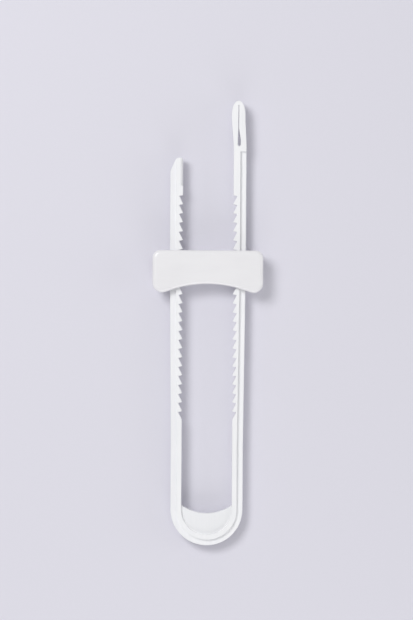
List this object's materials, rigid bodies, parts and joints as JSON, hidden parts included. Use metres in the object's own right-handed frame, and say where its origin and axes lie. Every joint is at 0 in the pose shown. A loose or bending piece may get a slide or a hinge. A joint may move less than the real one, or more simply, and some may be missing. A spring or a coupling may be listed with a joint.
{
  "type": "sliding cabinet lock",
  "caption": "U-shaped toothed plastic bar with a slider across both arms, held by sprung side buttons, for locking a pair of cabinet doors through their handles.",
  "frame": {"origin": "under the middle of the lock, on the surface that its rear face lies on", "axes": "+Z out of the slider's front face, +Y along the arms towards their open ends, +X towards the long arm"},
  "size_m": [0.0522, 0.21, 0.013],
  "materials": {
    "bar_plastic": "white moulded plastic, satin gloss",
    "cover_plastic": "white moulded plastic, soft gloss",
    "button_plastic": "white moulded plastic, satin gloss",
    "spring_steel": "bright spring wire",
    "screw_steel": "zinc-plated steel"
  },
  "bodies": {
    "bar": {"u_bar": "bar_plastic"},
    "slider": {"front_cover": "cover_plastic", "rear_cover": "cover_plastic", "left_spring": "spring_steel", "right_spring": "spring_steel", "cover_screws": "screw_steel"},
    "left_button": {"left_button": "button_plastic"},
    "right_button": {"right_button": "button_plastic"}
  },
  "joints": [
    {"name": "slider_slide", "type": "slide", "parent": "bar", "child": "slider", "axis": [0, 1, 0], "range_m": [-0.068, 0.034]},
    {"name": "left_button_press", "type": "slide", "parent": "slider", "child": "left_button", "axis": [1, 0, 0], "range_m": [0, 0.0019], "stiffness_N_per_m": 500, "springref_m": -0.003, "deforming": ["left_spring"]},
    {"name": "right_button_press", "type": "slide", "parent": "slider", "child": "right_button", "axis": [-1, 0, 0], "range_m": [0, 0.0019], "stiffness_N_per_m": 500, "springref_m": -0.003, "deforming": ["right_spring"]}
  ]
}
